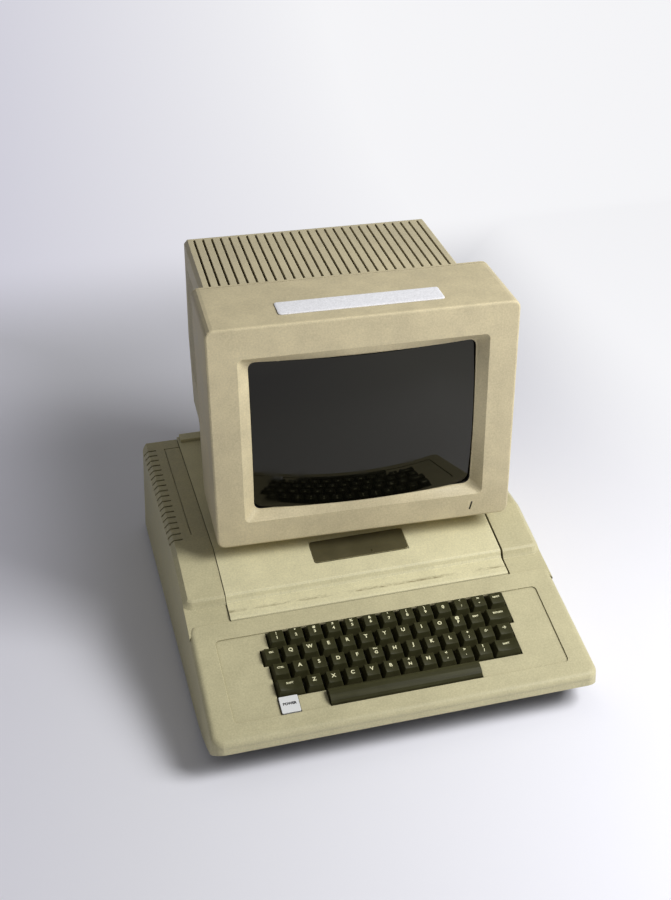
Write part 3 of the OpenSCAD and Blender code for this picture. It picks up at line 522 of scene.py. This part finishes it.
def key_cap(units):
    """One cap, about its own middle, in millimetres."""
    width, depth = units * KEY_PITCH - KEY_GAP, KEY_PITCH - KEY_GAP
    form = bmesh.new()
    bmesh.ops.create_cube(form, size=1)
    bmesh.ops.scale(form, verts=form.verts, vec=(width, depth, KEY_TOP - KEY_FOOT))
    bmesh.ops.translate(form, verts=form.verts, vec=(0, 0, (KEY_TOP + KEY_FOOT) / 2))
    upper = [vert for vert in form.verts if vert.co.z > 0]
    bmesh.ops.scale(form, verts=upper, vec=(1 - 2 * KEY_INSET / width, 1 - 2 * KEY_INSET / depth, 1))
    corners = [edge for edge in form.edges if edge.calc_length() > 5
               and abs(edge.verts[0].co.z - edge.verts[1].co.z) > 5]
    bmesh.ops.bevel(form, geom=corners, offset=KEY_CORNER, segments=3, profile=0.5, affect="EDGES", material=-1)
    for cut in range(-3, 4):
        bmesh.ops.bisect_plane(form, geom=form.verts[:] + form.edges[:] + form.faces[:],
                               plane_co=(cut * DISH_CUTS * units, 0, 0), plane_no=(1, 0, 0))
    for vert in form.verts:
        if vert.co.z > KEY_TOP - 0.1:
            vert.co.z = dished(vert.co.x, units)
    tops = [face for face in form.faces if face.normal.z > 0.7]
    rim = [edge for face in tops for edge in face.edges
           if len([near for near in edge.link_faces if near in tops]) == 1]
    bmesh.ops.bevel(form, geom=rim, offset=KEY_RIM, segments=2, profile=0.5, affect="EDGES", material=-1)
    under = [face for face in form.faces if face.normal.z < -0.9]
    bmesh.ops.inset_region(form, faces=under, thickness=WALL, use_even_offset=True)
    raised = corners_of(bmesh.ops.extrude_face_region(form, geom=under)["geom"])
    bmesh.ops.translate(form, verts=raised, vec=(0, 0, HOLLOW_DEPTH))
    bmesh.ops.scale(form, verts=raised, vec=(1 - HOLLOW_TAPER / width, 1 - HOLLOW_TAPER / depth, 1))
    stem = bmesh.ops.create_cone(form, cap_ends=True, segments=16, radius1=STEM_RADIUS, radius2=STEM_RADIUS,
                                 depth=STEM_LONG)["verts"]
    bmesh.ops.translate(form, verts=stem, vec=(0, 0, STEM_MIDDLE))
    return form


def key_legend(marks, units):
    """The letters of one key; marks lists text, height, x and y on the cap's top."""
    forms = []
    for text, height, x, y in marks:
        form = letters(text, height, LETTER_BOLD if height > WORD_HEIGHT else WORD_BOLD)
        bmesh.ops.translate(form, verts=form.verts, vec=(x, y, 0))
        for vert in form.verts:
            vert.co.z = dished(vert.co.x, units) + LETTER_PROUD
        forms.append(form)
    return joined(forms)


def make_key(body, nodes, keys):
    """Makes the caps and letters that ride on one body; keys lists left edge, row, units and marks."""
    caps, legends = [], []
    for left, row, units, marks in keys:
        stand = key_place(left + units / 2, row)
        cap, legend = key_cap(units), key_legend(marks, units)
        for form in (cap, legend):
            bmesh.ops.transform(form, matrix=stand, verts=form.verts)
        caps.append(cap)
        legends.append(legend)
    finished(body + "_caps", joined(caps), key_plastic, body, nodes, smooth=40)
    finished(body + "_legend", joined(legends), legend_cream, body)


def two_marks(above, below):
    """A shifted mark above the plain one."""
    return [(above, 3.1, 0, 3.5), (below, 3.2, 0, -1.5)]


def word_mark(text):
    """A key's word, which stands high on its cap."""
    return [(text, WORD_HEIGHT, 0, 1.6)]


number_keys = [(i, 0, 1, two_marks(mark, digit)) for i, (mark, digit) in enumerate(
    zip(("!", '"', "#", "$", "%", "&", "'", "(", ")"), "123456789"))]
number_keys += [(9, 0, 1, [("0", LETTER_HEIGHT, 0, 0.4)]), (10, 0, 1, two_marks("*", ":")),
                (11, 0, 1, two_marks("=", "-")), (12, 0, 1, word_mark("RESET"))]
make_key("number_row", ["number_row"], number_keys)

SHIFTED = {"P": two_marks("@", "P"), "N": two_marks("^", "N"), "G": [("BELL", 1.6, 0, 4.0), ("G", 3.4, 0, -0.6)]}
for row, start, names in ((1, 0.5, "QWERTYUIOP"), (2, 0.75, "ASDFGHJKL"), (3, 1.25, "ZXCVBNM")):
    for i, letter in enumerate(names):
        name = "key_" + letter.lower()
        make_key(name, [name], [(start + i, row, 1, SHIFTED.get(letter, [(letter, LETTER_HEIGHT, 0, 0.8)]))])
for name, left, row, units, marks in (
        ("key_esc", -0.5, 1, 1, word_mark("ESC")),
        ("key_rept", 10.5, 1, 1, word_mark("REPT")),
        ("key_return", 11.5, 1, 1.5, word_mark("RETURN")),
        ("key_ctrl", -0.25, 2, 1, word_mark("CTRL")),
        ("key_semicolon", 9.75, 2, 1, two_marks("+", ";")),
        ("key_left", 10.75, 2, 1, [("←", 3.4, 0, 1.6)]),
        ("key_right", 11.75, 2, 1, [("→", 3.4, 0, 1.6)]),
        ("key_shift_left", -0.25, 3, 1.5, word_mark("SHIFT")),
        ("key_comma", 8.25, 3, 1, two_marks("<", ",")),
        ("key_period", 9.25, 3, 1, two_marks(">", ".")),
        ("key_slash", 10.25, 3, 1, two_marks("?", "/")),
        ("key_shift_right", 11.25, 3, 1.5, word_mark("SHIFT"))):
    make_key(name, [name], [(left, row, units, marks)])

# ---- space bar ----
# The bar is a long hollow moulding with a rounded front, carried on a stem and a levelling wire.
# It is of the same brown plastic as the keys, and thumbs have brushed it along its length.
bar_plastic, tree, shader, wear_light_node = worn_with_painted_light("bar_plastic", (0.042, 0.041, 0.016), 0.42, specular=0.18, mottle=0.3,
                                       speck=0.3, grain_scale=1500, grain=0.2, edge=0.0005, grime=0.2)
along = put(tree, "Mapping", {"Vector": put(tree, "TexCoord").outputs["Object"], "Scale": (0.03, 1, 1)})
brushed = mix(tree, cloud(tree, along.outputs[0], 420.0, 3.0), (0.020, 0.019, 0.007, 1), (0.056, 0.054, 0.021, 1))
tree.links.new(brushed, wear_light_node.inputs["Colour"])
dress(bar_plastic, "space_bar")

# ---- power lamp cap ----
# A square cap of translucent white plastic stands over a lamp at the left of the space bar.
# It is fixed and doesn't press, and its one word is printed on it in black.
CAP_LEFT, CAP_ROW, POWER_HEIGHT, POWER_BOLD, POWER_UP, POWER_OUT = 0.25, 4, 2.7, 0.2, 0.6, 1.04
lamp_cap = worn_with_painted_light("lamp_cap", (0.74, 0.75, 0.74), 0.28, mottle=0.08, speck=0.05, grime=0.4, edge=0.0005)[0]
word_ink = worn_with_painted_light("word_ink", (0.03, 0.03, 0.03), 0.5, mottle=0.3, grime=0.0)[0]
dress(lamp_cap, "power_lamp")
form = letters("POWER", POWER_HEIGHT, POWER_BOLD)
bmesh.ops.translate(form, verts=form.verts, vec=(0, POWER_UP, POWER_OUT))
bmesh.ops.transform(form, matrix=key_place(CAP_LEFT, CAP_ROW), verts=form.verts)
finished("power_word", form, word_ink, "case")

# ---- monitor ----
# A deep front section frames the picture tube, and a rear housing with a slotted top closes the back.
# Both are moulded in a warmer beige than the computer, and rubber feet keep them off the lid.
# The slots in the top end at the rear wall, and a slanted dark window stands by the tube for the lamp.
MONITOR_TURN, MONITOR_RIGHT_BY, PIVOT_BACK = radians(-2.6), 10.6, 40
MONITOR_FACE, REAR_WALL = -38, (246, 249)
VENT_COUNT, VENT_WIDTH, VENT_SPAN, VENT_HEIGHTS = 27, 2.6, 256, (338, 346.5)
WINDOW_POCKET = (110.58, MONITOR_FACE + 0.01, 136.06), (112.18, MONITOR_FACE + 2.4, 145.66)
LAMP_WINDOW = (111.7, MONITOR_FACE - 0.15, 135.1), (113.5, MONITOR_FACE + 1.2, 144.7)
bezel_plastic = aged_plastic("bezel_plastic", (0.57, 0.495, 0.315), mottle=0.34)[0]
rear_plastic = aged_plastic("rear_plastic", (0.60, 0.53, 0.345))[0]
window_smoke = worn_with_painted_light("window_smoke", (0.022, 0.020, 0.014), 0.15, grime=0.0)[0]
dress(bezel_plastic, "monitor_front")
dress(rear_plastic, "monitor_back")
dress(foot_rubber, "monitor_feet")
on_monitor = (Matrix.Translation((MONITOR_RIGHT_BY * MM, PIVOT_BACK * MM + MIDDLE, 0))
              @ Matrix.Rotation(MONITOR_TURN, 4, "Z") @ Matrix.Translation((0, -PIVOT_BACK * MM, 0)))


def bar(form, low, high, turn=0):
    """A plain bar between two corners in millimetres, turned about its own middle line fore and aft."""
    made = bmesh.ops.create_cube(form, size=1)["verts"]
    bmesh.ops.scale(form, verts=made, vec=[b - a for a, b in zip(low, high)])
    bmesh.ops.rotate(form, verts=made, cent=(0, 0, 0), matrix=Matrix.Rotation(radians(turn), 3, "Y"))
    bmesh.ops.translate(form, verts=made, vec=[(a + b) / 2 for a, b in zip(low, high)])


def on_the_monitor(name, form, material):
    """Finishes a piece that is drawn in the monitor's own frame, in millimetres."""
    bmesh.ops.transform(form, verts=form.verts, matrix=on_monitor @ Matrix.Scale(MM, 4))
    finished(name, form, material, "monitor")


form = bmesh.new()
for vent in range(VENT_COUNT):
    middle = -VENT_SPAN / 2 + vent * VENT_SPAN / (VENT_COUNT - 1)
    bar(form, (middle - VENT_WIDTH / 2, REAR_WALL[0], VENT_HEIGHTS[0]),
        (middle + VENT_WIDTH / 2, REAR_WALL[1], VENT_HEIGHTS[1]))
on_the_monitor("slot_ends", form, rear_plastic)

form = bmesh.new()
bar(form, *WINDOW_POCKET, turn=-12)
on_the_monitor("window_pocket", form, bezel_plastic)

form = bmesh.new()
bar(form, *LAMP_WINDOW, turn=14)
outer = [edge for edge in form.edges if all(end.co.y < MONITOR_FACE for end in edge.verts)]
bmesh.ops.bevel(form, geom=outer, offset=0.1, segments=2, profile=0.5, affect="EDGES", material=-1)
on_the_monitor("lamp_window", form, window_smoke)

# ---- picture tube ----
# The tube is one blown glass bulb with a dark faceplate; its cone is painted with graphite.
# A copper deflection coil sits round its neck, and a steel band with four ears holds it.
FACEPLATE_REAR, COIL_FRONT, COIL_REAR = -0.02545, 0.0875, 0.1345
DARK_GLASS, GRAPHITE = (0.003, 0.003, 0.002), (0.030, 0.030, 0.032)
GLASS_POLISH, GRAPHITE_MATT = 0.03, 0.62
tube, tree, shader, wear_light_node = worn_with_painted_light("tube_glass", DARK_GLASS, GLASS_POLISH, specular=0.44, mottle=0.3, speck=0.0,
                                grain=0.0, grime=0.0, edge=0.0006)
shader.inputs["Specular Tint"].default_value = (0.96, 0.93, 0.82, 1)
place = put(tree, "Mapping", {"Vector": put(tree, "TexCoord").outputs["Object"],
                              "Location": tuple(on_monitor.inverted().translation),
                              "Rotation": (0, 0, -MONITOR_TURN)}).outputs[0]
depth = put(tree, "SeparateXYZ", {0: place}).outputs["Y"]
behind = reckon(tree, "GREATER_THAN", depth, FACEPLATE_REAR)
coil = reckon(tree, "MULTIPLY", reckon(tree, "GREATER_THAN", depth, COIL_FRONT),
              reckon(tree, "LESS_THAN", depth, COIL_REAR))
winding = put(tree, "TexWave", {"Vector": place, "Scale": 260.0}, bands_direction="Y").outputs["Fac"]
wound = mix(tree, winding, (0.10, 0.035, 0.012, 1), (0.42, 0.17, 0.06, 1))
coated = mix(tree, behind, (*DARK_GLASS, 1), (*GRAPHITE, 1))
tree.links.new(mix(tree, coil, coated, wound), wear_light_node.inputs["Colour"])
tree.links.new(ramp(tree, behind, 0.0, 1.0, GLASS_POLISH, GRAPHITE_MATT), wear_light_node.inputs["Roughness"])
dress(tube, "picture_tube")

# ---- monitor board, switch and knob ----
# A brown laminate board lies under the tube with its transformer, coils and sockets.
# The rocker and the fluted picture knob are moulded in black plastic and reach through the rear wall.
LAMINATE_BROWN, PARTS_FOOT = (0.22, 0.11, 0.04), 0.1238
laminate, tree, shader, wear_light_node = worn_with_painted_light("laminate", LAMINATE_BROWN, 0.45, mottle=0.35, speck=0.3)
tree.links.new(mix(tree, stands_above(tree, PARTS_FOOT), (*LAMINATE_BROWN, 1), (0.035, 0.035, 0.04, 1)),
               wear_light_node.inputs["Colour"])
knob_black = worn_with_painted_light("knob_black", (0.015, 0.015, 0.015), 0.4, mottle=0.4, speck=0.3, edge=0.0004)[0]
dress(laminate, "monitor_board")
dress(knob_black, "picture_knob")
rocker_marks("monitor_switch_marks", "monitor_switch", (-89.3, 243, 151), on_monitor)

# ---- hook strip ----
# A length of white loop pile is glued on top, for a cover or a holder to be pressed on.
# Its woven edge lies a little lower than the pile, and its loops are matted.
STRIP_LONG, STRIP_WIDE, STRIP_HIGH, STRIP_CORNER = 163, 28, 1.55, 3
STRIP_PLACE, STRIP_FOOT = (1.6, -4.4, 368.5), 0.02
pile, tree, shader, wear_light_node = worn_with_painted_light("loop_pile", (0.80, 0.80, 0.83), 0.95, mottle=0.2, mottle_scale=240, speck=0.5,
                                grain_scale=650, grain=1.0, grime=0.3)
shader.inputs["Sheen Weight"].default_value = 0.3
form = bmesh.new()
bmesh.ops.create_grid(form, x_segments=140, y_segments=26, size=0.5)
bmesh.ops.scale(form, verts=form.verts, vec=(STRIP_LONG, STRIP_WIDE, 1))
for vert in form.verts:
    over_x = max(0, abs(vert.co.x) - (STRIP_LONG / 2 - STRIP_CORNER))
    over_y = max(0, abs(vert.co.y) - (STRIP_WIDE / 2 - STRIP_CORNER))
    if over_x and over_y:
        pull = STRIP_CORNER / max(STRIP_CORNER, sqrt(over_x * over_x + over_y * over_y))
        vert.co.x -= (over_x - over_x * pull) * (1 if vert.co.x > 0 else -1)
        vert.co.y -= (over_y - over_y * pull) * (1 if vert.co.y > 0 else -1)
    tuft = noise.noise(Vector((vert.co.x * 0.9, vert.co.y * 0.9, 0))) * 0.16
    tuft += noise.noise(Vector((vert.co.x * 2.1, vert.co.y * 2.1, 3))) * 0.12
    fall = 1 - min(1, max(over_x, over_y) / STRIP_CORNER) ** 3 * 0.35
    vert.co.z = (STRIP_HIGH - 0.3 + tuft) * fall
rim = [edge for edge in form.edges if edge.is_boundary]
for vert in corners_of(bmesh.ops.extrude_edge_only(form, edges=rim)["geom"]):
    vert.co.z = STRIP_FOOT
bmesh.ops.contextual_create(form, geom=[edge for edge in form.edges if edge.is_boundary])
bmesh.ops.recalc_face_normals(form, faces=form.faces)
bmesh.ops.transform(form, verts=form.verts, matrix=on_monitor @ Matrix.Scale(MM, 4) @ Matrix.Translation(STRIP_PLACE))
finished("loop_strip", form, pile, "monitor", ["hook_strip"], smooth=50)
